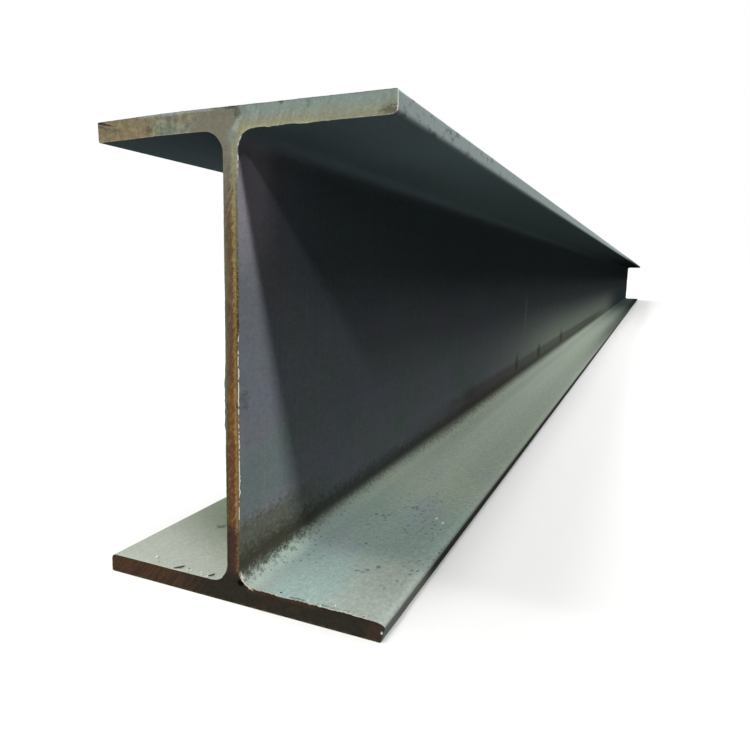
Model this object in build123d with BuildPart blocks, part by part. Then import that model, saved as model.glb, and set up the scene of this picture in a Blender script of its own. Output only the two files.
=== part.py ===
"""Hot-rolled steel H-beam, one piece of mill-length stock.

The beam stands on its lower flange, with its web upright and its length along Y.
The origin is on the floor, under the middle of the beam.
"""
import os

from build123d import *

# Rolled section, in millimetres
section_depth = 294.0
flange_width = 200.0
flange_thickness = 12.0
web_thickness = 8.0

# Rounding that the rolls leave: between web and flange, and on the flange tips
root_radius = 13.0
toe_radius = 2.0

# Length between the two square saw cuts
stock_length = 6000.0

os.makedirs("parts", exist_ok=True)


def apart(vertex: Vertex) -> float:
    """Distance of a corner of the section from the middle of the web."""
    return abs(vertex.X)


# The section is drawn upright, from the floor up, and runs both ways from the middle
with BuildPart() as h_beam:
    with BuildSketch(Plane.XZ) as section:
        Rectangle(web_thickness, section_depth, align=(Align.CENTER, Align.MIN))
        Rectangle(flange_width, flange_thickness, align=(Align.CENTER, Align.MIN))
        with Locations((0, section_depth)):
            Rectangle(flange_width, flange_thickness, align=(Align.CENTER, Align.MAX))
        fillet(section.vertices().group_by(apart)[0], radius=root_radius)
        fillet(section.vertices().group_by(apart)[-1], radius=toe_radius)
    extrude(amount=stock_length / 2, both=True)

h_beam.part.label = "h_beam"
export_step(h_beam.part, "parts/h_beam.step")
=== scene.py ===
"""A sawn length of hot-rolled steel H-beam, with its mill scale, rusty saw cuts and torn burr.

The beam stands on its lower flange, web upright, with its length along Y.
Its near end, at the lowest Y, faces the camera. Sizes are in metres, and those of blobs in millimetres.
"""

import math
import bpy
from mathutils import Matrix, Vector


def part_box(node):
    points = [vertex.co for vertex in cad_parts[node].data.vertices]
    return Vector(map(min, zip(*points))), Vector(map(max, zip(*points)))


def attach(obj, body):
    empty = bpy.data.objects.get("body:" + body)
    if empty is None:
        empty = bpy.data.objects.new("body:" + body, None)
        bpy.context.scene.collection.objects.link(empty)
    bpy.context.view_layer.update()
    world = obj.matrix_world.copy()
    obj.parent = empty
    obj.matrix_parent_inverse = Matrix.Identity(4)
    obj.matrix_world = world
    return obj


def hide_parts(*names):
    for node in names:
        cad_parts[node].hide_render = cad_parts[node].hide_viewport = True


bl_info = {
    "name": "Rolled Steel H-Beam",
    "version": (1, 0, 0),
    "blender": (4, 5, 0),
    "location": "View3D > Sidebar > H-Beam",
    "description": "Builds a sawn length of H-beam with mill scale, rusty cuts and burr, and a plain stage",
    "category": "Object",
}

import bpy
import numpy as np
from bpy.props import FloatProperty, FloatVectorProperty, PointerProperty
from mathutils import Matrix, Vector
from numpy import concatenate as join

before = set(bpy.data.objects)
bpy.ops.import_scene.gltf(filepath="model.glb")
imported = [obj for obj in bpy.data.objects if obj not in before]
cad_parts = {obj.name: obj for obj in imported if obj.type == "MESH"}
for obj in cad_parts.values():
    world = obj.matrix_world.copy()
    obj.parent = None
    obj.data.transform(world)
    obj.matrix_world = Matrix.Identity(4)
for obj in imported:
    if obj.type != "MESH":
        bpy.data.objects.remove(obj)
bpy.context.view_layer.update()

BEAM_NODE = "h_beam"
BODY = "root"
BEAM_LOW, BEAM_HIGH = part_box(BEAM_NODE)
BEAM_WIDTH = BEAM_HIGH.x - BEAM_LOW.x
BEAM_DEPTH = BEAM_HIGH.z - BEAM_LOW.z
BEAM_LENGTH = BEAM_HIGH.y - BEAM_LOW.y
NEAR = BEAM_LOW.y
MM = 0.001


def length(name, description, default):
    """A size property in metres."""
    return FloatProperty(
        name=name, description=description, default=default, min=0.0, unit="LENGTH", precision=5
    )


def angle(name, description, degrees):
    """An angle property, its default written in degrees."""
    return FloatProperty(name=name, description=description, default=math.radians(degrees), subtype="ANGLE")


def rgb(name, description, *screen):
    """A colour property, its default written as on a screen, 0 to 255, and kept as linear values."""
    share = np.array(screen) / 255.0
    linear = np.where(share <= 0.04045, share / 12.92, ((share + 0.055) / 1.055) ** 2.4)
    return FloatVectorProperty(
        name=name, description=description, default=linear.tolist(), min=0.0, max=1.0, subtype="COLOR"
    )


class HBeamSection(bpy.types.PropertyGroup):
    """Sizes of the rolled section that the overall box doesn't give, and how finely it is drawn."""

    web: length("Web thickness", "Thickness of the upright web", 8 * MM)
    flange: length("Flange thickness", "Thickness of each flange", 12 * MM)
    root: length("Root radius", "Fillet between web and flange", 13 * MM)
    toe: length("Toe radius", "Rounding of the flange tips toward the web", 3 * MM)
    edge: length("Edge radius", "Rounding of the flange tips on their outer faces", 1 * MM)
    droop: length("Toe droop", "How far in the lower right tip starts to round off", 8 * MM)
    lean: length("Toe lean", "How far the lower right tip leans out over its foot", 3 * MM)
    short: length("Short toe", "How much narrower the upper flange is at the left", 3.5 * MM)
    sag: length("Tip sag", "How far the upper flange's left tip hangs", 1.4 * MM)
    step: length("Grid step", "Spacing of the points round the section", 1.0 * MM)


class HBeamCut(bpy.types.PropertyGroup):
    """How the saw left the ends."""

    burr: length("Burr height", "Half of how far the worst teeth of the torn lip stand out", 1.6 * MM)
    lip: length("Burr length", "How far along the beam the torn lip reaches", 1.4 * MM)
    tooth: length("Burr tooth", "Typical width of one torn tooth", 3.0 * MM)
    wander: length("Cut wander", "How far the sawn face leaves a true plane", 0.15 * MM)


class HBeamFinish(bpy.types.PropertyGroup):
    """Colours of the steel's surfaces."""

    scale: rgb("Mill scale", "Web and other shaded faces", 101, 105, 109)
    scale_cool: rgb("Cool scale", "Blue and violet patches", 100, 103, 112)
    scale_pale: rgb("Pale scale", "Lavender scale by the cut, high on the web", 140, 135, 144)
    # Painted shade: a dark cool scale laid high on the web under the upper flange, and along the far end of
    # the web and lower flange.
    scale_painted_shade: rgb("Deep scale", "Dark cool scale high in the channel", 68, 86, 88)
    scale_green: rgb("Green scale", "Grey-green patches", 93, 105, 103)
    underside: rgb("Underside", "Blue scale on faces that look down", 128, 143, 151)
    dust: rgb("Dusty flange", "Faces that look up, under pale dust", 168, 180, 164)
    # Paler dust and painted sheen: up-facing faces further from the cut.
    far_dust_and_sheen: rgb("Far dust", "The same faces far from the cut", 186, 197, 182)
    dust_teal: rgb("Teal dust", "Blue-green part near the cut", 149, 168, 163)
    dust_green: rgb("Green dust", "Greenish part behind it", 151, 171, 161)
    dust_violet: rgb("Violet dust", "Lavender patches near the cut", 152, 162, 171)
    dust_warm: rgb("Warm dust", "Beige patches near the cut", 158, 165, 157)
    dust_left: rgb("Left dust", "Pale grey front, left of the web", 167, 172, 162)
    dust_olive: rgb("Olive dust", "Darker part behind it, and the beam's top", 130, 140, 123)
    # Painted light: the upper flange's tips are painted pale.
    toe_pale: rgb("Upper toe", "Rubbed tips of the upper flange", 218, 234, 233)
    # Dark colour of the lower flange's tips, except right by the cut; it also darkens the upper tips far
    # along, as painted shade.
    toe_dark: rgb("Lower toe", "Dirty tips of the lower flange", 91, 93, 86)
    # Dirt and painted shade in the corner at the foot of the web.
    root_dirt_and_shade: rgb("Root dirt", "Dirt along the foot of the web", 57, 56, 47)
    root_haze: rgb("Root haze", "Brown haze above that dirt", 80, 82, 68)
    speck: rgb("Specks", "Pits in the scale", 78, 92, 86)
    # Painted glints: bright flecks that stand in for highlights on the lower flange and the lower cut; also
    # laid faintly on a pale patch of the web.
    glint: rgb("Glints", "Bare bright flecks", 216, 220, 210)
    torn: rgb("Torn metal", "Bright burr", 234, 232, 219)
    cut_steel: rgb("Sawn steel", "Blue-green part of the cut", 134, 149, 142)
    cut_olive: rgb("Olive cut", "Grey-olive part of the cut", 144, 145, 124)
    cut_yellow: rgb("Yellow edge", "Line along the cut's lower edge", 172, 168, 128)
    cut_taupe: rgb("Taupe cut", "Grey-brown part of the cut", 123, 120, 107)
    cut_beige: rgb("Beige stain", "Stain at the left of the cut", 127, 117, 92)
    beige_pale: rgb("Pale beige", "Lighter patches of that stain", 144, 134, 107)
    cut_brown: rgb("Brown flecks", "Flecks in that stain", 92, 76, 58)
    cut_orange: rgb("Orange stain", "Orange patches on the cut", 140, 112, 80)
    cut_moss: rgb("Moss stain", "Grey-green patches on the cut", 106, 115, 103)
    # Painted highlight along the upper edge of the near cut, left of the web; also a short pale slanting
    # line.
    cut_pale: rgb("Pale strip", "Worn strip along the cut's upper edge", 172, 186, 186)
    rust_ochre: rgb("Ochre rust", "Ochre grains on the cut web", 127, 101, 66)
    rust_gold: rgb("Golden rust", "Yellow grains on the cut web", 150, 136, 78)
    rust_orange: rgb("Orange rust", "Cut web, half way up", 114, 80, 44)
    rust_red: rgb("Red rust", "Cut web, lower half", 103, 68, 52)
    rust_brown: rgb("Brown rust", "Cut web, upper half", 98, 82, 63)
    rust_olive: rgb("Olive rust", "Dull left part of the cut web", 81, 73, 46)
    rust_foot: rgb("Foot rust", "Purple-brown foot of the web", 70, 52, 46)
    # Dark nicks and cracks on the cut; the filing slivers also wear it as painted shade.
    nick: rgb("Nicks", "Dark nicks and cracks on the cut", 52, 52, 40)
    soot: rgb("Black rust", "Nearly black cut of the lower flange", 48, 46, 39)
    soot_red: rgb("Red-black rust", "Red-brown part of that cut", 80, 58, 45)
    # Painted shadow: black under the burr that overhangs the lower cut by the right root.
    burr_shadow: rgb("Pit", "Black pit in that cut, under the root", 13, 13, 13)


class HBeamStage(bpy.types.PropertyGroup):
    """Camera and lamps."""

    eye: FloatVectorProperty(
        name="Camera place", description="Camera from the foot of the near end: right, back and up",
        default=(0.22068, 0.31257, 0.20502), subtype="TRANSLATION", unit="LENGTH",
    )
    turn: angle("Turn", "Camera's turn to the left of the beam's length", 24.84)
    dip: angle("Dip", "Camera's dip below level", 9.04)
    roll: angle("Roll", "Camera's lean", 0.97)
    lens: FloatProperty(
        name="Lens", description="Focal length on a 36 mm sensor", default=31.13, unit="CAMERA"
    )
    shift: FloatProperty(name="Shift", description="Sideways shift of the picture", default=0.035)
    ambient: FloatProperty(name="Ambient", description="Even light from all round", default=0.02, min=0.0)
    floor_seen: rgb("Floor", "Floor as the camera sees it", 236, 236, 235)
    floor_bounce: rgb("Floor bounce", "Floor as it lights the object", 80, 80, 79)


def smooth(value, low, high):
    """Smooth step: 0 up to low, 1 from high, with a flat start and end between them."""
    share = np.clip((value - low) / (high - low), 0.0, 1.0)
    return share * share * (3.0 - 2.0 * share)


def patchy(along, across, seed):
    """Smooth noise: seeded random heights on whole numbers, blended by the smooth step between them."""
    cells = 97
    table = np.random.default_rng(seed).random((cells, cells))
    low_a, low_b = np.floor(along).astype(int), np.floor(across).astype(int)
    part_a, part_b = smooth(along - low_a, 0, 1), smooth(across - low_b, 0, 1)
    this_a, next_a, this_b, next_b = (low % cells for low in (low_a, low_a + 1, low_b, low_b + 1))
    near = table[this_a, this_b] * (1 - part_b) + table[this_a, next_b] * part_b
    far = table[next_a, this_b] * (1 - part_b) + table[next_a, next_b] * part_b
    return near * (1 - part_a) + far * part_a


def quads_of(grid):
    """Corner numbers of every square of a grid of point numbers, turned the way the grid runs."""
    return np.stack([grid[:-1, :-1], grid[:-1, 1:], grid[1:, 1:], grid[1:, :-1]], -1).reshape(-1, 4)


class CutFace:
    """A grid over the whole H of the section, in three patches that share their edges.

    A flange patch runs up its thickness and across it, and its half width follows the toe's quarter circle
    toward the web and a smaller one outside. The lower right toe is a quarter ellipse and leans out, and the
    upper left one is short and sags by the 1.5th power of its distance out. The web patch's half width
    follows the root's quarter circle at both ends. The rim is the outline, anticlockwise from the near end.
    """

    def __init__(self, section):
        step, root, flange = section.step, section.root, section.flange
        toe, edge = section.toe, section.edge
        turn = np.linspace(0, math.pi / 2, 5)
        rise, pull = 1 - np.cos(turn), 1 - np.sin(turn)
        plain = flange - edge - toe
        flat = np.linspace(0, 1, round(plain / step) + 1)[1:-1]
        top_rise = flange - toe * rise[::-1]
        up = join([edge * rise, edge + flat * plain, top_rise])
        half = BEAM_WIDTH / 2
        even = half - join([edge * pull, 0 * flat, toe * pull[::-1]])
        drooped = half - join([edge * pull, 0 * flat, section.droop * pull[::-1]])
        leaned = drooped + section.lean * (up / flange - 0.5)
        short = half - section.short - 0.3 * (half - even)

        neck = section.web / 2 + root
        outer = np.linspace(0, 1, round((half - toe - neck) / step) + 1)[1:]
        inner = np.linspace(-1, 1, 2 * round(neck / 2 / step) + 1)
        middle = neck * np.tile(inner, (len(up), 1))
        even, leaned, short = (neck + outer * (reach[:, None] - neck) for reach in (even, leaned, short))
        across = np.hstack([-even[:, ::-1], middle, leaned])
        above = np.hstack([-short[:, ::-1], middle, even])

        root_turn = np.linspace(0, math.pi / 2, round(math.pi / 2 * root / step) + 1)
        lift = root * (1 - np.cos(root_turn))
        clear = BEAM_DEPTH - 2 * flange
        tall = np.linspace(0, 1, round((clear - 2 * root) / step) + 1)[1:-1]
        web_up = join([lift, root + tall * (clear - 2 * root), clear - lift[::-1]])
        swell = root * (1 - np.sin(root_turn))
        web_half = section.web / 2 + join([swell, 0 * tall, swell[::-1]])
        web_across = web_half[1:-1, None] * inner
        web_rise = np.tile(flange + web_up[1:-1, None], (1, len(inner)))

        low_rise = np.tile(up[:, None], (1, across.shape[1]))
        sag = section.sag * np.clip(-above[::-1] / half - 0.3, 0, None) ** 1.5 / 0.7 ** 1.5
        high_rise = BEAM_DEPTH - low_rise[::-1] - sag
        self.x = join([across.ravel(), web_across.ravel(), above[::-1].ravel()])
        self.z = join([low_rise.ravel(), web_rise.ravel(), high_rise.ravel()])
        low = np.arange(across.size).reshape(across.shape)
        high = low + across.size + web_across.size
        first, last = len(outer), len(outer) + len(inner)
        between = across.size + np.arange(web_across.size).reshape(web_across.shape)
        web = np.vstack([low[-1:, first:last], between, high[:1, first:last]])
        self.patches = [quads_of(low), quads_of(web), quads_of(high)]
        self.quads = join(self.patches)
        self.rim = join([
            low[0], low[1:, -1], low[-1, last:-1][::-1], web[:-1, -1], high[0, last - 1:], high[1:, -1],
            high[-1, :-1][::-1], high[:-1, 0][::-1], high[0, 1:first + 1], web[:-1, 0][::-1][:-1],
            low[-1, :first + 1][::-1], low[1:-1, 0][::-1],
        ])

    def rim_shape(self):
        """Outline points, outward directions and distance round, from neighbours' differences on the rim."""
        x, z = self.x[self.rim], self.z[self.rim]
        run_x, run_z = np.roll(x, -1) - np.roll(x, 1), np.roll(z, -1) - np.roll(z, 1)
        size = np.hypot(run_x, run_z)
        gap = np.hypot(np.roll(x, -1) - x, np.roll(z, -1) - z)
        return x, z, run_z / size, -run_x / size, join([[0.0], np.cumsum(gap)])


def station_rows():
    """Distances from the near end of the rings of points: close together at both cuts, wide apart between."""
    near = np.array([0, 0.15, 0.4, 0.75, 1.2, 1.8, 3, 6, 14, 30]) * MM
    middle = np.geomspace(0.08, BEAM_LENGTH / 2, 8)
    far = BEAM_LENGTH - np.array([0, 0.4, 1.0, 1.8, 5, 20, 80, 300, 1200]) * MM
    return join([near, middle, far[::-1]])


def near_burr(x, z, out_x, out_z, around, cut, section):
    """Torn lip of the near cut: its height round the outline and how bright it is.

    Each stretch of the outline has a share of the full burr and of its brightness. Tooth-like noise along
    the outline, coarse times fine, breaks the height up.
    """
    right, upper = x > 0, z > BEAM_DEPTH / 2
    web_right = (out_x > 0.7) & (np.abs(x) < section.web)
    web_left = (out_x < -0.7) & (np.abs(x) < section.web)
    low_edge = (out_z > 0.3) & ~upper
    fillet = low_edge & (z > section.flange + 0.5 * MM)
    high_edge = (out_z < -0.3) & upper & right
    tip = (np.abs(out_x) > 0.9) & (np.abs(x) > BEAM_WIDTH / 4)

    edge_share = smooth(z, 0.04, 0.052) * smooth(z, 0.281, 0.27)
    white_share = smooth(z, 0.046, 0.052) * smooth(z, 0.174, 0.164)
    steady = 0.55 * smooth(z, 0.055, 0.075) + 0.3 * smooth(z, 0.155, 0.175) + 0.3 * smooth(z, 0.222, 0.24)
    steady = steady * web_right * edge_share + 0.3 * web_left * smooth(z, 0.16, 0.135)
    height = 0.08 + 0.6 * web_right * edge_share
    height += 0.35 * web_left * smooth(z, 0.106, 0.114) * smooth(z, 0.152, 0.146)
    height += (1.15 * low_edge + 0.4 * fillet) * right
    height += 0.35 * high_edge * smooth(x, 0.075, 0.045) + 0.25 * tip * upper * right
    height = height * (1 - (out_z < -0.5) * (z < section.flange / 2))

    coarse = patchy(around / cut.tooth, 0 * around, 11)
    fine = patchy(around / (0.45 * cut.tooth), 0 * around, 12)
    gaps = smooth(patchy(around / (4 * cut.tooth), 0 * around, 13), 0.1, 0.3)
    torn = (0.3 + 0.7 * coarse) * (0.4 + 1.2 * fine) * gaps
    torn = np.where(tip & upper & right, 0.5 + 0.6 * fine, torn)
    flaky = white_share * smooth(fine, 0.1, 0.4)
    bright = web_right * (flaky + 0.75 * smooth(z, 0.252, 0.26) * (fine > 0.5))
    # The bright line on the upper right tip is a painted edge highlight over its low burr.
    bright += low_edge * right + 0.5 * high_edge * (fine > 0.55) * (x > 0.018) + tip * upper * right
    return cut.burr * (height * torn + steady), np.clip(bright, 0, 1)


def far_burr(z, out_z, around, cut, section):
    """Torn lip of the far cut: low, even tooth-like noise, and none on the underside."""
    teeth = smooth(patchy(around / cut.tooth, 0 * around, 21), 0.3, 0.9)
    return 0.3 * cut.burr * teeth * (1 - (out_z < -0.5) * (z < section.flange / 2))


def put_object(name, data):
    """A new object of the scene, at the origin."""
    made = bpy.data.objects.new(name, data)
    bpy.context.scene.collection.objects.link(made)
    return made


def put_mesh(name, points, faces):
    """A mesh object at the origin from its points and faces, smooth but for sharp corners."""
    mesh = bpy.data.meshes.new(name)
    mesh.from_pydata(points.tolist(), [], faces)
    mesh.polygons.foreach_set("use_smooth", np.ones(len(faces), bool))
    mesh.set_sharp_from_angle(angle=math.radians(35))
    mesh.update()
    return put_object(name, mesh)


def put_values(piece, name, values):
    """A named value on every point of a piece, for its material to read."""
    layer = piece.data.attributes.new(name, "FLOAT", "POINT")
    layer.data.foreach_set("value", values.astype(np.float32))


def put_bake_map(piece, face, rows, around):
    """The flat map of the beam's surface, named OFBake.

    The rolled skin is unrolled: at the near end the map gives it eight times the room of the rest, and
    that falls off over a third of a metre. The cuts lie beside it as strips, the near one drawn larger.
    """
    margin, extra, fall = 0.005, 7, 0.35
    along = rows + extra * fall * (1 - np.exp(-rows / fall))
    skin_u = margin + (1 - 2 * margin) * along / along[-1]
    skin_v = 0.285 + 0.71 * around / around[-1]
    grid = np.arange(len(rows) * len(around)).reshape(len(rows), len(around))
    flat = np.stack(np.meshgrid(skin_u, skin_v, indexing="ij"), -1).reshape(-1, 2)
    skin = flat[quads_of(grid)[:, [0, 3, 2, 1]]]
    caps = []
    for scale, shelf in ((3.4, (margin, 0.055, 0.18)), (1.1, (0.235, 0.235, 0.235))):
        for number, quads in enumerate(face.patches):
            sides = [line[quads] - line[quads].min() for line in (face.x, face.z)]
            u, v = sides[::-1] if number == 1 else sides
            shift = 0.0 if scale > 2 else 0.33 * number
            caps.append(np.stack([margin + shift + scale * u, shelf[number] + scale * v], -1))
    near, far = join(caps[:3]), join(caps[3:])[:, ::-1]
    layer = piece.data.uv_layers.new(name="OFBake")
    layer.data.foreach_set("uv", join([near, skin, far]).astype(np.float32).ravel())


class Finish:
    """One material's nodes. Each call adds a node or a few, and returns what they give out."""

    def __init__(self, name):
        self.material = bpy.data.materials.new(name)
        self.material.use_nodes = True
        self.tree = self.material.node_tree
        self.shader = self.tree.nodes["Principled BSDF"]
        self.place = self.tree.nodes.new("ShaderNodeTexCoord").outputs["Object"]
        self.x, self.y, self.z = self.add("ShaderNodeSeparateXYZ", self.place).outputs

    def add(self, kind, *values):
        """A node of a kind, its first inputs fed in order."""
        made = self.tree.nodes.new(kind)
        for socket, value in zip(made.inputs, values):
            self.feed(socket, value)
        return made

    def feed(self, socket, value):
        """Links what a node gives out, or writes a plain value."""
        if isinstance(value, bpy.types.NodeSocket):
            self.tree.links.new(value, socket)
        elif socket.type == "RGBA":
            socket.default_value = (*value, 1.0)
        else:
            socket.default_value = value

    def math(self, operation, *values):
        made = self.add("ShaderNodeMath", *values)
        made.operation = operation
        return made.outputs[0]

    def times(self, first, *others):
        for other in others:
            first = self.math("MULTIPLY", first, other)
        return first

    def plus(self, first, *others):
        for other in others:
            first = self.math("ADD", first, other)
        return first

    def sway(self, value, noise, reach):
        """A value moved to and fro by noise, up to half the reach each way."""
        return self.plus(value, self.times(self.plus(noise, -0.5), reach))

    def band(self, value, low, high, bottom=0.0, top=1.0):
        """Smooth step of a value from low to high, given out between bottom and top."""
        made = self.add("ShaderNodeMapRange", value, low, high, bottom, top)
        made.interpolation_type = "SMOOTHSTEP"
        return made.outputs[0]

    def span(self, value, low, high, edge):
        """1 where a value lies from low to high, with soft edges outside that."""
        return self.times(self.band(value, low - edge, low), self.band(value, high + edge, high))

    def stretch(self, scale, move=(0, 0, 0), lean=0.0):
        """Object coordinates, leaned by degrees in the plane of the cut, then times a scale on each axis."""
        place = self.place
        if lean:
            turn = (0, math.radians(lean), 0)
            place = self.add("ShaderNodeMapping", place, (0, 0, 0), turn).outputs[0]
        return self.add("ShaderNodeMapping", place, move, (0, 0, 0), scale).outputs[0]

    def distance(self, vector):
        """How far a vector reaches."""
        made = self.add("ShaderNodeVectorMath", vector)
        made.operation = "LENGTH"
        return made.outputs["Value"]

    def noise(self, scale, detail=3.0, rough=0.55, move=(0, 0, 0), lean=0.0):
        made = self.add("ShaderNodeTexNoise", self.stretch(scale, move, lean))
        for name, value in (("Scale", 1.0), ("Detail", detail), ("Roughness", rough)):
            made.inputs[name].default_value = value
        return made.outputs["Fac"]

    def dots(self, size, rarity, scale, move=(0, 0, 0)):
        """Round dots on scattered points: a soft disc of that size where the point's random value is high."""
        made = self.add("ShaderNodeTexVoronoi", self.stretch(scale, move))
        made.inputs["Scale"].default_value = 1.0
        pick = self.add("ShaderNodeSeparateColor", made.outputs["Color"]).outputs[0]
        disc = self.band(made.outputs["Distance"], size, 0.5 * size)
        return self.times(disc, self.band(pick, rarity, rarity + 0.01))

    def blob(self, centre, size, ragged=None):
        """A soft-edged ellipsoid: 1 inside, 0 outside, its edge torn by noise if given.

        Its centre and half sizes are in millimetres, from the floor under the middle of the near end.
        """
        scale = [1 / (part * MM) for part in size]
        middle = [low + part * MM for low, part in zip((0, NEAR, BEAM_LOW.z), centre)]
        reach = self.distance(self.stretch(scale, [-part * share for part, share in zip(middle, scale)]))
        if ragged is not None:
            reach = self.sway(reach, ragged, 2.6)
        return self.band(reach, 1.15, 0.35)

    def stain(self, x, z, wide, tall, ragged):
        """A blob on the near cut, its edge torn by noise."""
        return self.blob((x, 0, z), (wide, 1000, tall), ragged)

    def value(self, name):
        """A named value of the piece's points."""
        made = self.add("ShaderNodeAttribute")
        made.attribute_name = name
        return made.outputs["Fac"]

    def mix(self, share, under, over, how="MIX"):
        made = self.tree.nodes.new("ShaderNodeMix")
        made.data_type, made.blend_type = "RGBA", how
        for number, value in ((0, share), (6, under), (7, over)):
            self.feed(made.inputs[number], value)
        return made.outputs[2]

    def coat(self, base, *layers):
        """Colours laid over a base one after another, each as far as the product of its shares says."""
        for over, *shares in layers:
            base = self.mix(self.times(*shares), base, over)
        return base

    def dim(self, base, change):
        """A colour times 1 plus a change."""
        return self.mix(1.0, base, self.plus(change, 1.0), "MULTIPLY")

    def shade(self, base, noise, reach):
        """A colour made lighter and darker by noise, up to half the reach each way."""
        return self.dim(base, self.times(self.plus(noise, -0.5), reach))

    def done(self, base, rough, height, gloss):
        """Feeds the shader: its colour, roughness, and bump from a height in millimetres."""
        self.feed(self.shader.inputs["Base Color"], base)
        self.feed(self.shader.inputs["Roughness"], rough)
        self.shader.inputs["Specular IOR Level"].default_value = gloss
        if height is not None:
            made = self.tree.nodes.new("ShaderNodeBump")
            made.inputs["Distance"].default_value = MM
            self.feed(made.inputs["Height"], height)
            self.tree.links.new(made.outputs[0], self.shader.inputs["Normal"])
        return self.material


def dusty_top(f, hue, level, back, patch, tint, clump):
    """Faces that look up: teal, green and violet dust by the cut, paler further in, partly as painted sheen,
    and grey left of the web.

    Painted shade darkens the lower flange's outer half, its far end and the left flange toward the web.
    Specks, scratches and two painted glints lie on the lower flange, that many millimetres up. The beam's own
    top is plain olive.
    """
    right = f.band(f.x, -0.012, 0.02)
    base = f.coat(
        hue.dust,
        # Paler dust and painted sheen from a third of a metre to a metre in.
        (hue.far_dust_and_sheen, f.band(back, 0.28, 1.0)),
        # Painted shade: the lower flange darkens from two metres along to the far end.
        (hue.scale_painted_shade, f.band(f.sway(back, tint, 0.6), 2.2, 4.8, 0.0, 0.9)),
        (hue.dust_green, f.band(f.sway(back, tint, 0.08), 0.24, 0.14), f.band(patch, 0.15, 0.45), right),
        (hue.dust_teal, f.band(f.sway(back, tint, 0.06), 0.105, 0.065), f.band(patch, 0.24, 0.54), right),
        (hue.dust_violet, f.band(tint, 0.52, 0.68, 0.0, 0.5), f.band(back, 0.4, 0.22), right),
        (hue.dust_warm, f.band(f.sway(f.x, tint, 0.03), 0.05, 0.072), f.band(back, 0.1, 0.05), 0.8),
        (hue.dust_warm, f.band(f.x, 0.026, 0.016), f.band(back, 0.04, 0.01), right, 0.7),
    )
    # Painted shade: the lower flange's outer half is darkened all along, more from a third of a metre in, and
    # more again from one metre on.
    toe_side_shade = f.times(f.band(f.x, 0.048, 0.094), f.band(back, 0.0, 0.35, -0.14, -0.3))
    far_toe_side_shade = f.times(f.band(f.x, 0.045, 0.1), f.band(back, 1.0, 2.4, 0.0, -0.42))
    base = f.shade(f.dim(base, f.plus(toe_side_shade, far_toe_side_shade)), clump, 0.65)
    # The left flange's pale grey turns to darker olive toward the web and away from the cut: partly painted
    # shade.
    behind = f.plus(f.sway(back, tint, 0.02), f.times(f.plus(f.x, 0.092), 0.6))
    left = f.mix(f.band(behind, 0.03, 0.115), hue.dust_left, hue.dust_olive)

    def mark(x, y, wide, deep, ragged=None):
        return f.blob((x, y, level), (wide, deep, 10), ragged)

    crowd = f.band(f.noise((60, 12, 60), 1, move=(9, 1, 3)), 0.42, 0.6)
    crowd = f.times(crowd, right, f.band(back, 0.3, 0.14, 0.35, 1.0), f.band(back, 0.02, 0.05))
    specks = f.times(f.dots(0.36, 0.55, (290, 220, 290)), crowd)
    flecks = f.dots(0.44, 0.35, (230, 150, 230), (2, 5, 0))
    for place in ((37, 143, 13, 20), (60, 183, 12, 14), (69, 138, 8, 16)):
        specks = f.math("MAXIMUM", specks, f.times(flecks, mark(*place)))
    for place in (
        (62.5, 53, 5, 1.3), (66, 56.5, 1.6, 2.2), (70, 64, 2, 3), (29.8, 52.1, 0.7, 1), (61, 3, 6, 1),
        (75, 3.6, 2.2, 0.8), (44, 2.8, 7, 1.2), (-62.5, 73.5, 3.5, 5),
    ):
        specks = f.math("MAXIMUM", specks, f.times(mark(*place, clump), 0.9))
    crown = f.mix(f.band(tint, 0.3, 0.72, 0.0, 0.4), hue.dust_olive, hue.scale_green)
    base = f.coat(
        base,
        (f.shade(left, clump, 0.35), f.band(f.x, -0.004, -0.014), f.band(back, 0.45, 0.2)),
        (hue.speck, specks, 0.75),
        # Two painted glints on the lower flange.
        (hue.glint, mark(79, 165, 1.1, 3)),
        (hue.glint, mark(86.2, 158, 1.1, 3)),
        (f.shade(crown, clump, 0.4), f.band(f.z, 0.1, 0.2)),
    )
    return base, specks


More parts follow.
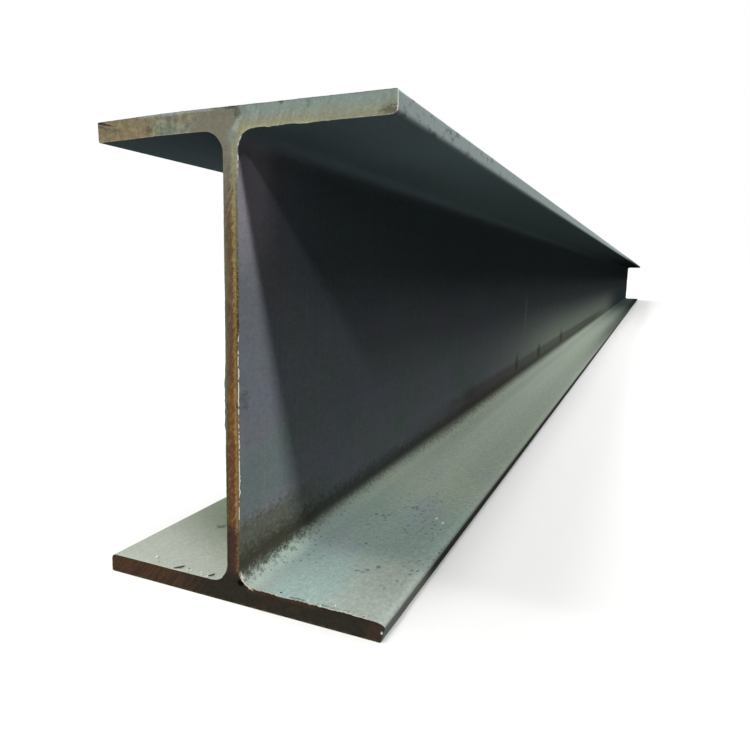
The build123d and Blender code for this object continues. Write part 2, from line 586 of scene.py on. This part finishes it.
def mill_scale(hue, section):
    """Rolled faces: patchy scale, dust on what looks up, dirt and painted shade along the web's foot.

    Painted light lies on the upper tips and a dark colour on the lower ones. Painted shade darkens the web
    under the upper flange and the far end, painted light and shade vary the underside, and painted sheen
    pales faces further in.
    """
    f = Finish("mill_scale")
    back = f.plus(f.y, -NEAR)
    beside = f.math("ABSOLUTE", f.x)
    grain = f.noise((900, 640, 900), 2, 0.6)
    clump = f.noise((360, 250, 360), 3, 0.65, (7, 3, 1))
    patch = f.noise((17, 8, 17))
    tint = f.noise((24, 11, 24), move=(5, 2, 8))
    rolled = f.noise((110, 1.4, 110), move=(1, 4, 2))
    upright = f.noise((60, 300, 9))

    # Painted shade: the web is darkened high under the upper flange behind the cut, and low along the far
    # end.
    deep = f.times(f.band(f.sway(f.z, patch, 0.03), 0.155, 0.215), f.band(back, 0.04, 0.12), 0.5)
    distant = f.times(f.band(f.z, 0.15, 0.09), f.band(back, 3.3, 4.8), 0.8)
    web = f.coat(
        hue.scale,
        (hue.scale_cool, f.band(patch, 0.4, 0.68)),
        (hue.scale_green, f.band(tint, 0.46, 0.66), f.band(f.z, 0.17, 0.07, 0.3, 0.9)),
        # Painted sheen in the dust colour: the lower web grows paler from half a metre to over four metres
        # along.
        (hue.dust, f.band(back, 0.5, 1.4), f.band(f.z, 0.16, 0.05), f.band(back, 4.4, 3.0), 0.58),
        (hue.scale_painted_shade, f.plus(deep, distant)),
    )
    # Painted light and shade on the underside: lighter toward the toe and just behind the cut, darker toward
    # the web and ever darker further along.
    underside_painted_light = f.plus(f.times(f.band(beside, 0.012, 0.1, -0.22, 0.15), f.band(back, 0.45, 0.1)), 1.0)
    underside_painted_light = f.times(underside_painted_light, f.band(back, 0.0, 0.13, 1.04, 1.4))
    underside_painted_light = f.math("DIVIDE", underside_painted_light, f.plus(back, 1.0))
    top, specks = dusty_top(f, hue, section.flange / MM, back, patch, tint, clump)
    base = f.coat(
        f.shade(f.shade(web, upright, 0.18), clump, 0.34),
        (hue.scale_pale, f.band(f.sway(f.z, clump, 0.02), 0.185, 0.245), f.band(back, 0.05, 0.02), 0.9),
        (f.mix(1.0, hue.underside, underside_painted_light, "MULTIPLY"), f.value("under")),
        (top, f.value("dust")),
    )
    # Upper tips: painted light, turned darker far along as painted shade, with warm worn spots near the cut.
    worn = f.band(f.noise((150, 70, 150), move=(3, 3, 1)), 0.5, 0.66)
    upper_toe_light_and_wear = f.coat(
        hue.toe_pale,
        (hue.toe_dark, f.band(back, 2.4, 3.8, 0.0, 0.8)),
        (hue.dust_warm, worn, f.band(back, 0.35, 0.05, 0.15, 0.8)),
    )

    def mark(y, z, deep, tall, ragged=None, thick=20):
        return f.blob((section.web / 2 / MM, y, z), (thick, deep, tall), ragged)

    level = f.sway(f.sway(f.z, clump, 0.02), grain, 0.013)
    level = f.plus(level, f.band(back, 0.2, 0.5, 0.0, 0.004))
    close = f.band(f.sway(back, tint, 0.04), 0.12, 0.05)
    # Dirt and drips at the web's foot, with painted shade in that corner, strongest near the cut.
    foot = f.times(f.band(level, 0.013, 0.0235), f.band(level, 0.042, 0.026), f.band(beside, 0.034, 0.024))
    foot = f.times(foot, f.plus(f.band(back, 0.3, 1.9, 0.68, 0.23), f.times(close, 0.27)))
    for *drip, share in (
        (555, 40, 34, 20, 0.25), (887, 43, 18, 24, 0.5), (1143, 39, 28, 23, 0.5), (1520, 41, 40, 20, 0.5),
    ):
        foot = f.math("MAXIMUM", foot, f.times(mark(*drip), share))
    haze = f.times(f.span(level, 0.024, 0.046, 0.012), f.band(beside, 0.03, 0.02))
    wide = f.sway(f.sway(f.z, clump, 0.014), upright, 0.01)
    wide = f.times(f.span(wide, 0.022, 0.043, 0.01), f.band(beside, 0.02, 0.012))
    smudge = mark(7.5, 128, 5, 7.5, clump, 10)
    base = f.coat(
        f.shade(base, rolled, 0.1),
        (upper_toe_light_and_wear, f.value("toe_pale")),
        (hue.toe_dark, f.value("toe_dark"), f.band(back, -0.06, 0.08)),
        (f.shade(hue.root_haze, clump, 1.2), haze, f.band(f.sway(back, tint, 0.06), 0.15, 0.03), 0.85),
        (hue.rust_foot, wide, f.band(back, 0.25, 0.6), f.band(back, 3.6, 2.4), 0.5),
        (hue.root_dirt_and_shade, foot),
        (hue.nick, smudge, f.band(grain, 0.34, 0.56), 0.5),
        (hue.glint, mark(955, 134, 11, 40, grain), 0.12),
    )
    base = f.mix(f.value("torn"), f.shade(base, grain, 0.5), hue.torn)
    height = f.plus(f.times(grain, 0.07), f.times(clump, 0.1), f.times(rolled, 0.05))
    height = f.plus(height, f.times(clump, foot, 0.3), f.times(specks, -0.12))
    return f.done(base, f.band(patch, 0.25, 0.75, 0.55, 0.75), height, 0.0)


def upper_cut(f, hue, blotch, mottle, fleck, stroke):
    """Cut of the upper flange: blue-green over olive at the right, taupe, moss and beige to the left."""
    x = f.sway(f.sway(f.x, blotch, 0.036), mottle, 0.012)
    z = f.sway(f.sway(f.z, mottle, 0.007), stroke, 0.006)
    steel = f.mix(f.band(z, 0.2915, 0.2835), hue.cut_steel, hue.cut_olive)
    moss = f.coat(
        hue.cut_moss,
        (hue.cut_olive, f.band(mottle, 0.36, 0.64)),
        (hue.cut_orange, f.stain(-31, 290.5, 12, 3.2, mottle), 0.35),
    )
    beige = f.coat(
        hue.cut_beige,
        (hue.beige_pale, f.band(mottle, 0.38, 0.66)),
        (hue.cut_brown, f.band(fleck, 0.56, 0.66), 0.5),
    )
    edge = f.times(f.band(z, 0.285, 0.2828), f.span(f.x, 0.01, 0.052, 0.01))
    slash = f.math("ABSOLUTE", f.plus(f.x, f.times(f.z, -0.62), 0.1712))
    slash = f.band(f.sway(slash, fleck, 0.004), 0.0028, 0.0006)
    scar = 0.0
    for *place, share in (
        (5.8, 290.5, 3, 5.2, 0.5), (1.8, 293.3, 4, 1.1, 0.7), (96.5, 284.2, 7.5, 2.6, 0.55),
        (33.8, 293.7, 2, 1.3, 0.6), (50, 291.5, 1.6, 3, 0.3), (-87, 286.8, 8, 2, 0.35),
        (-56, 285, 3, 3, 0.35),
    ):
        scar = f.math("MAXIMUM", scar, f.times(f.stain(*place, fleck), share))
    for slope, height, far, share in ((0.235, 0.2924, -0.078, 1.0), (0.36, 0.2904, -0.082, 0.45)):
        line = f.math("ABSOLUTE", f.plus(f.z, f.times(f.plus(f.x, 0.0963), slope), -height))
        crack = f.band(f.plus(line, f.band(f.x, -0.0935, far, 0.0, 0.0011)), 0.0012, 0.0003)
        scar = f.math("MAXIMUM", scar, f.times(crack, f.band(fleck, 0.3, 0.45, 0.5, 1.0), share))
    base = f.coat(
        f.shade(steel, stroke, f.band(f.x, 0.075, 0.03, 0.3, 0.8)),
        (hue.cut_taupe, f.band(x, 0.012, -0.002)),
        (moss, f.band(x, -0.012, -0.034)),
        (beige, f.band(x, -0.044, -0.064)),
        (hue.cut_yellow, edge, f.band(fleck, 0.3, 0.55), 0.3),
        # Painted highlight along the cut's upper edge, then a pale slanting line.
        (hue.cut_pale, f.band(f.z, 0.2922, 0.2935), f.span(x, -0.058, -0.01, 0.008), 0.5),
        (hue.cut_pale, slash, f.span(f.sway(f.z, mottle, 0.004), 0.2815, 0.2875, 0.0018), 0.4),
        (hue.cut_steel, f.stain(2, 277.5, 5, 4.5, mottle), 0.5),
        (hue.cut_taupe, f.band(f.sway(f.x, mottle, 0.008), 0.088, 0.098), f.band(z, 0.2925, 0.2885), 0.4),
        (hue.nick, scar, 0.9),
    )
    return base, f.times(scar, -0.4)


def web_cut(f, hue, blotch, mottle, fleck, half):
    """Cut of the web, half its thickness given: taupe and olive at the top, then brown, orange and red rust.

    Gold grains, nicks and moss run down its edges, and its foot is purple-brown.
    """
    slant = f.noise((620, 0, 190), 4, 0.65, (2, 0, 6), -24)
    x = f.sway(f.sway(f.x, slant, 0.007), blotch, 0.003)
    red = f.coat(
        hue.rust_red,
        (hue.rust_orange, f.band(f.sway(f.z, blotch, 0.03), 0.092, 0.112)),
        (hue.rust_brown, f.band(f.sway(f.z, blotch, 0.06), 0.13, 0.175)),
        (hue.rust_ochre, f.band(slant, 0.5, 0.7)),
    )
    ochre = f.mix(f.band(mottle, 0.46, 0.66, 0.0, 0.8), hue.rust_ochre, hue.cut_orange)
    gold = f.times(f.span(x, 0.0024, 0.0034, 0.0008), f.band(fleck, 0.38, 0.56, 0.3, 1.0))
    base = f.coat(
        hue.rust_olive,
        (hue.cut_taupe, f.band(f.sway(f.z, blotch, 0.05), 0.105, 0.15, 0.0, 0.5)),
        (red, f.band(x, -0.0036, -0.001)),
        (ochre, f.band(x, 0.0006, 0.0026)),
        (hue.rust_gold, gold, f.band(f.z, 0.175, 0.205, 0.4, 0.9)),
    )
    base = f.dim(f.shade(base, slant, 0.7), f.times(f.span(f.z, 0.14, 0.18, 0.012), -0.15))
    upper = f.mix(f.band(x, -0.0006, 0.0026), hue.cut_taupe, hue.cut_olive)
    low = f.coat(
        hue.rust_foot,
        (hue.soot, f.band(x, 0.0, -0.0035, 0.0, 0.5)),
        (hue.rust_ochre, f.band(x, 0.0004, 0.0036), f.band(fleck, 0.44, 0.6, 0.35, 0.9)),
    )

    dashes = f.noise((240, 0, 800), 1, move=(4, 0, 2))
    outer = f.times(f.band(f.x, half - 0.1 * MM, half + 0.5 * MM), f.span(f.z, 0.163, 0.225, 0.006))
    inner = f.span(f.x, half - 0.4 * MM, half + 0.2 * MM, 0.4 * MM)
    inner = f.times(inner, f.span(f.z, 0.05, 0.165, 0.004), 0.6)
    nicks = f.times(f.plus(outer, inner), f.band(dashes, 0.42, 0.54))
    nicks = f.math("MAXIMUM", nicks, f.stain(3.8, 125.5, 1, 2.2, fleck))
    left = f.times(f.band(f.x, 0.9 * MM - half, 0.1 * MM - half), f.span(f.z, 0.11, 0.25, 0.02))
    fringe = f.times(f.band(f.x, half - 0.8 * MM, half + 0.6 * MM), f.span(f.z, 0.212, 0.25, 0.012))
    base = f.coat(
        base,
        (upper, f.band(f.sway(f.z, slant, 0.05), 0.222, 0.278)),
        (low, f.band(f.sway(f.z, mottle, 0.008), 0.051, 0.046)),
        (hue.nick, nicks, 0.8),
        (hue.cut_moss, f.plus(left, fringe), 0.55),
    )
    return base, f.times(nicks, -0.3)


def lower_cut(f, hue, blotch, mottle, fleck):
    """Cut of the lower flange: nearly black, dull red-brown with slanting saw marks at the left.

    It has a painted black shadow and a bright curved chip under the right root, and a painted glint at the
    right toe.
    """
    hatch = f.noise((480, 0, 50), 2, move=(3, 0, 3), lean=-40)
    x = f.sway(f.sway(f.x, blotch, 0.05), hatch, 0.02)
    red = f.mix(f.band(f.sway(hatch, mottle, 0.8), 0.42, 0.66, 0.0, 0.8), hue.soot_red, hue.soot)
    seam = f.band(f.sway(f.z, mottle, 0.003), 0.0092, 0.0116)
    ring = f.sway(f.distance(f.stretch((1, 0, 1), (-0.017, 0, -0.025))), fleck, 0.003)
    chip = f.times(f.span(ring, 0.0124, 0.0138, 0.0004), f.span(f.x, 0.003, 0.012, 0.003))
    base = f.coat(
        hue.soot,
        (red, f.band(x, -0.018, -0.046)),
        (hue.rust_foot, f.band(blotch, 0.5, 0.66), 0.25),
        (hue.rust_foot, f.band(f.sway(f.x, mottle, 0.01), 0.085, 0.094, 0.0, 0.55)),
        (hue.soot_red, seam, f.span(f.x, 0.018, 0.052, 0.012), 0.6),
        (hue.rust_olive, f.band(f.z, 0.0018, 0.0006), f.band(mottle, 0.4, 0.6), 0.6),
        (hue.burr_shadow, f.stain(5.4, 15, 3.8, 2.6, fleck)),
        (hue.torn, chip, f.band(f.z, 0.0225, 0.02), 0.8),
        (hue.glint, f.stain(99, 6.2, 0.9, 1.1, fleck)),
    )
    return base, f.times(hatch, 0.2)


def saw_cut(hue, section):
    """Sawn ends: three stained patches of cut, one for each flange and one for the web."""
    f = Finish("saw_cut")
    blotch = f.noise((75, 0, 75), 3, 0.6)
    mottle = f.noise((250, 0, 250), 4, 0.65, (3, 0, 1))
    fleck = f.noise((640, 0, 640), 3, 0.65, (5, 0, 9))
    stroke = f.noise((380, 0, 60), move=(1, 0, 4), lean=-18)
    fine = f.noise((1400, 0, 1400), 2, 0.6)
    upper, upper_dents = upper_cut(f, hue, blotch, mottle, fleck, stroke)
    web, web_dents = web_cut(f, hue, blotch, mottle, fleck, section.web / 2)
    lower, lower_dents = lower_cut(f, hue, blotch, mottle, fleck)
    base = f.mix(f.band(f.sway(f.z, mottle, 0.006), 0.0225, 0.0165), web, lower)
    base = f.shade(f.shade(base, mottle, 0.9), fleck, 0.8)
    upper = f.shade(f.shade(upper, mottle, 0.5), fleck, 0.5)
    base = f.mix(f.band(f.sway(f.z, mottle, 0.012), 0.268, 0.278), base, upper)
    base = f.shade(base, fine, 0.4)
    base = f.mix(f.band(f.value("torn"), 0.4, 0.85, 0.0, 0.9), base, hue.torn)
    height = f.plus(f.times(mottle, 0.2), f.times(stroke, 0.1), f.times(fleck, 0.12), f.times(fine, 0.05))
    height = f.plus(height, upper_dents, web_dents, lower_dents)
    return f.done(base, f.band(blotch, 0.3, 0.7, 0.6, 0.8), height, 0.0)


def filing_steel(hue):
    """Crumbs and slivers torn off by the saw: bright, or black as painted shade on lifted slivers, by their
    own value, with a fine grain.
    """
    f = Finish("filing_steel")
    grain = f.noise((1500, 1500, 1500), 2)
    base = f.mix(f.value("bright"), hue.nick, hue.torn)
    return f.done(f.shade(base, grain, 0.4), 0.5, f.times(grain, 0.1), 0.2)


class HBEAM_OT_beam(bpy.types.Operator):
    """Build the beam: the section's outline carried along the length, closed by a grid at each cut"""

    bl_idname = "hbeam.beam"
    bl_label = "Rolled Beam"

    def execute(self, context):
        scene = context.scene
        section, cut, hue = scene.hbeam_section, scene.hbeam_cut, scene.hbeam_finish
        face = CutFace(section)
        x, z, out_x, out_z, around = face.rim_shape()
        rows = station_rows()
        near_lip, bright = near_burr(x, z, out_x, out_z, around[:-1], cut, section)
        far_lip = far_burr(z, out_z, around[:-1], cut, section)
        near_fade = np.clip(1 - rows / cut.lip, 0, 1)[:, None] ** 1.5
        far_fade = np.clip(1 - (BEAM_LENGTH - rows) / cut.lip, 0, 1)[:, None] ** 1.5
        stand = near_fade * near_lip + far_fade * far_lip
        ring_y = NEAR + rows[:, None] + 0.35 * (far_fade * far_lip - near_fade * near_lip)
        rings = np.stack([x + stand * out_x, ring_y, z + stand * out_z], -1)

        wander = cut.wander * patchy(face.x / 0.018, face.z / 0.018, 31)
        wander = wander + 0.4 * cut.wander * patchy(face.x / 0.004, face.z / 0.006, 32)
        near = np.stack([face.x, NEAR + wander, face.z], -1)
        far = np.stack([face.x, BEAM_HIGH.y - wander, face.z], -1)
        near[face.rim], far[face.rim] = rings[0], rings[-1]
        points = join([near, rings[1:-1].reshape(-1, 3), far])
        inner = len(near) + np.arange((len(rows) - 2) * len(x)).reshape(-1, len(x))
        loops = np.vstack([face.rim, inner, len(points) - len(far) + face.rim])
        skin = quads_of(np.hstack([loops, loops[:, :1]]))[:, [0, 3, 2, 1]]
        far_quads = (face.quads + len(points) - len(far))[:, ::-1]

        piece = put_mesh("rolled_beam", points, join([face.quads, skin, far_quads]).tolist())
        piece.data.materials.append(mill_scale(hue, section))
        piece.data.materials.append(saw_cut(hue, section))
        sawn = join([np.ones(len(face.quads)), np.zeros(len(skin)), np.ones(len(far_quads))])
        piece.data.polygons.foreach_set("material_index", sawn.astype(np.int32))
        put_bake_map(piece, face, rows, around)

        tip = smooth(np.abs(out_x), 0.5, 0.95) * (np.abs(x) > BEAM_WIDTH / 4)
        upper = z > BEAM_DEPTH / 2
        shown = {
            "dust": smooth(out_z, 0.05, 0.6),
            "under": smooth(-out_z, 0.35, 0.9),
            "toe_pale": tip * upper,
            "toe_dark": tip * ~upper,
            "torn": bright * smooth(near_fade * near_lip, 0.12 * MM, 0.35 * MM),
        }
        for name, given in shown.items():
            whole = np.zeros(len(points))
            whole[loops] = given
            put_values(piece, name, whole)
        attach(piece, BODY)
        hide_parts(BEAM_NODE)
        return {"FINISHED"}


def lumps(starts, ends, wide, tall, lift, seed, ring=8, steps=6):
    """Closed lumps, each a round profile carried along a straight line between two points.

    Along the line from 0 to 1 the profile's size is the square root of 4 s (1 - s), so both ends close in a
    point, its middle rises by lift times s squared, and noise dents it. Returns points and faces of them all.
    """
    s = np.linspace(0, 1, steps + 2)[1:-1]
    turn = np.linspace(0, 2 * math.pi, ring, endpoint=False)
    size = np.sqrt(4 * s * (1 - s)) * (0.55 + 0.45 * s)
    run = ends - starts
    side = np.stack([-run[:, 1], run[:, 0], 0 * run[:, 0]], -1)
    side = side / np.linalg.norm(side, axis=1, keepdims=True)
    dent = 0.75 + 0.5 * np.random.default_rng(seed).random((len(starts), steps, ring))
    middle = starts[:, None] + run[:, None] * s[:, None]
    middle[..., 2] += lift[:, None] * s ** 2
    girth = size[:, None] * dent
    across = wide[:, None, None] * girth * np.cos(turn)
    points = middle[:, :, None] + across[..., None] * side[:, None, None]
    points[..., 2] += tall[:, None, None] * girth * np.sin(turn)
    tail = ends + np.stack([0 * lift, 0 * lift, lift], -1)
    each = join([points.reshape(len(starts), -1, 3), starts[:, None], tail[:, None]], 1)
    grid = np.arange(steps * ring).reshape(steps, ring)
    wrap = np.hstack([grid, grid[:, :1]])
    first = np.stack([wrap[0, :-1], np.full(ring, steps * ring), wrap[0, 1:]], -1)
    last = np.stack([wrap[-1, 1:], np.full(ring, steps * ring + 1), wrap[-1, :-1]], -1)
    offsets = np.arange(len(starts))[:, None, None] * each.shape[1]
    faces = (quads_of(wrap) + offsets).reshape(-1, 4).tolist() + (first + offsets).reshape(-1, 3).tolist()
    return each.reshape(-1, 3), faces + (last + offsets).reshape(-1, 3).tolist(), each.shape[1]


class HBEAM_OT_filings(bpy.types.Operator):
    """Lay the slivers and crumbs that the saw left on the lower flange, just behind the near cut"""

    bl_idname = "hbeam.filings"
    bl_label = "Saw Filings"

    def execute(self, context):
        section = context.scene.hbeam_section
        draw = np.random.default_rng(41)
        top = BEAM_LOW.z + section.flange
        slivers = np.array([
            [-48.5, 1.0, -41.5, 5.2, 0.45, 0.75, 1.3], [-21.8, 2.2, -17.8, 5.2, 0.45, 0.75, 0.9],
            [-69.6, 8.0, -67.4, 9.0, 1.2, 1.0, 0.4], [-63.6, 4.2, -62.4, 4.6, 0.6, 0.5, 0.1],
        ]) * MM
        count = 34
        spread = draw.random((count, 5))
        left = np.where(spread[:, 0] < 0.6, -46 + 28 * spread[:, 1], 20 + 72 * spread[:, 1]) * MM
        back = (1.2 + 5 * spread[:, 2] ** 2) * MM
        long = (0.5 + 0.9 * spread[:, 3] ** 2) * MM
        aim = 2 * math.pi * spread[:, 4]
        crumbs = np.stack([
            left, back, left + long * np.cos(aim), back + long * np.abs(np.sin(aim)),
            0.35 * long, 0.35 * long, 0.1 * long,
        ], -1)
        rows = join([slivers, crumbs])
        x, y, to_x, to_y, wide, tall, lift = rows.T
        rest = top + 0.6 * tall
        points, faces, size = lumps(
            np.stack([x, NEAR + y, rest], -1), np.stack([to_x, NEAR + to_y, rest], -1), wide, tall, lift, 42
        )
        piece = put_mesh("saw_filings", points, faces)
        piece.data.materials.append(filing_steel(context.scene.hbeam_finish))
        # The two long slivers are black, painted shade on their lifted lips; the crumbs are bright or dark at
        # random.
        bright = join([[0.0, 0.0, 1.0, 0.3], (draw.random(count) < 0.7).astype(float)])
        put_values(piece, "bright", np.repeat(bright, size))
        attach(piece, BODY)
        return {"FINISHED"}


class HBEAM_OT_stage(bpy.types.Operator):
    """Set the pale floor, the soft lamps and the camera"""

    bl_idname = "hbeam.stage"
    bl_label = "Stage"

    def execute(self, context):
        stage = context.scene.hbeam_stage
        self.floor(stage)
        self.world(context.scene, stage)
        self.lamps()
        self.camera(context.scene, stage)
        context.scene.view_settings.view_transform = "Standard"
        return {"FINISHED"}

    def seen(self, tree):
        """1 for rays from the camera, from gloss and through glass, 0 for those that light the object."""
        path = tree.nodes.new("ShaderNodeLightPath")
        share = path.outputs["Is Camera Ray"]
        for name in ("Is Glossy Ray", "Is Transmission Ray"):
            either = tree.nodes.new("ShaderNodeMath")
            either.operation = "MAXIMUM"
            tree.links.new(share, either.inputs[0])
            tree.links.new(path.outputs[name], either.inputs[1])
            share = either.outputs[0]
        return share

    def floor(self, stage):
        line = 10 * BEAM_LENGTH * np.array([-1, 0, 1])
        u, v = np.meshgrid(line, line)
        points = np.stack([u, v, 0 * u + BEAM_LOW.z], -1).reshape(-1, 3)
        floor = put_mesh("floor", points, quads_of(np.arange(9).reshape(3, 3)).tolist())
        f = Finish("pale_floor")
        base = f.mix(self.seen(f.tree), stage.floor_bounce, stage.floor_seen)
        floor.data.materials.append(f.done(base, 0.9, None, 0.0))

    def world(self, scene, stage):
        scene.world = bpy.data.worlds.new("plain_world")
        scene.world.use_nodes = True
        tree = scene.world.node_tree
        light = tree.nodes["Background"]
        light.inputs["Color"].default_value = (1, 1, 1, 1)
        strength = tree.nodes.new("ShaderNodeMapRange")
        tree.links.new(self.seen(tree), strength.inputs["Value"])
        strength.inputs["To Min"].default_value = stage.ambient
        tree.links.new(strength.outputs[0], light.inputs["Strength"])

    def lamps(self):
        """Distant soft lamps: the way each one lies, its share of a full light, its size and its tint."""
        rows = (
            ("over_left", (-0.36, 0.0, 1.0), 0.24, 12, (1.0, 1.0, 0.98)),
            ("over_front", (0.0, -0.207, 1.0), 0.43, 16.5, (1.0, 1.0, 0.98)),
            ("right_sky", (0.66, 0.0, 0.75), 0.12, 22, (0.95, 0.98, 1.0)),
            ("front_sky", (0.6, -1.25, 1.0), 0.19, 5, (1.0, 1.0, 1.0)),
            ("front_fill", (0.0, -1.0, 0.25), 0.62, 26, (1.0, 0.99, 0.96)),
            ("left_sky", (-1.0, 0.0, 0.8), 0.35, 60, (0.97, 0.98, 1.0)),
            ("back_sky", (0.0, 1.0, 0.8), 0.18, 45, (0.97, 0.98, 1.0)),
        )
        for name, way, share, size, tint in rows:
            lamp = self.lamp(name, "SUN", share * math.pi, way)
            lamp.angle, lamp.color = math.radians(size), tint
        self.side_lamp()
        self.end_lamps()

    def lamp(self, name, kind, energy, way, place=(0, 0, 0)):
        """A lamp at a place, its back turned the way that its light comes from."""
        lamp = bpy.data.lights.new(name, kind)
        lamp.energy = energy
        made = put_object(name, lamp)
        made.location = place
        made.rotation_euler = Vector(way).to_track_quat("Z", "Y").to_euler()
        return lamp

    def side_lamp(self):
        """A soft ball of light over the right flange, a third of the way along, so both ends fall off."""
        share, reach, along = 0.34, 2.0, 1.8
        place = Vector((0.05, NEAR + along, 0.012)) + Vector((0.42, 0.0, 1.0)).normalized() * reach
        energy = share * 4 * math.pi ** 2 * reach ** 2
        lamp = self.lamp("over_right", "POINT", energy, (0, 0, 1), place)
        lamp.shadow_soft_size = 0.16

    def end_lamps(self):
        """Lamps with a flat hood, low at the right, that light the near end alone.

        Each lights the half of space in front of a plane through the upper flange's front edge. The planes
        fan out from that edge, so the shade that they leave on the web grows softer downward.
        """
        count, share, reach = 6, 0.21, 10.0
        energy = share / count * 4 * math.pi ** 3 * reach ** 2
        edge = Vector((0.0, NEAR, BEAM_HIGH.z - 0.01))
        for number, slope in enumerate(np.linspace(0.245, 0.335, count)):
            place = edge + Vector((6.0, -slope, 1.0)).normalized() * reach
            lamp = self.lamp(f"near_end_{number}", "SPOT", energy, (0.0, 1.0, slope), place)
            lamp.spot_size, lamp.spot_blend, lamp.shadow_soft_size = math.pi, 0.0003, 0.002

    def camera(self, scene, stage):
        data = bpy.data.cameras.new("camera")
        data.lens, data.shift_x, data.clip_start, data.clip_end = stage.lens, stage.shift, 0.01, 500.0
        camera = put_object("camera", data)
        right, back, up = stage.eye
        turn = Matrix.Rotation(stage.turn, 4, "Z") @ Matrix.Rotation(math.pi / 2 - stage.dip, 4, "X")
        place = Matrix.Translation((right, NEAR - back, BEAM_LOW.z + up))
        camera.matrix_world = place @ turn @ Matrix.Rotation(stage.roll, 4, "Z")
        scene.camera = camera


class HBEAM_PT_panel(bpy.types.Panel):
    """Lists the beam's pieces and the values that shape them"""

    bl_idname = "HBEAM_PT_panel"
    bl_label = "Rolled H-Beam"
    bl_space_type = "VIEW_3D"
    bl_region_type = "UI"
    bl_category = "H-Beam"

    def draw(self, context):
        for step in STEPS:
            self.layout.operator(step.bl_idname)
        for name, group in GROUPS.items():
            box = self.layout.box()
            for value in group.__annotations__:
                box.prop(getattr(context.scene, name), value)


GROUPS = {
    "hbeam_section": HBeamSection,
    "hbeam_cut": HBeamCut,
    "hbeam_finish": HBeamFinish,
    "hbeam_stage": HBeamStage,
}
STEPS = (HBEAM_OT_beam, HBEAM_OT_filings, HBEAM_OT_stage)


def register():
    for name, group in GROUPS.items():
        bpy.utils.register_class(group)
        setattr(bpy.types.Scene, name, PointerProperty(type=group))
    for kind in (*STEPS, HBEAM_PT_panel):
        bpy.utils.register_class(kind)


def unregister():
    for kind in (HBEAM_PT_panel, *reversed(STEPS)):
        bpy.utils.unregister_class(kind)
    for name, group in reversed(GROUPS.items()):
        delattr(bpy.types.Scene, name)
        bpy.utils.unregister_class(group)


def main():
    register()
    bpy.ops.hbeam.beam()
    bpy.ops.hbeam.filings()
    bpy.ops.hbeam.stage()


if __name__ == "__main__":
    main()
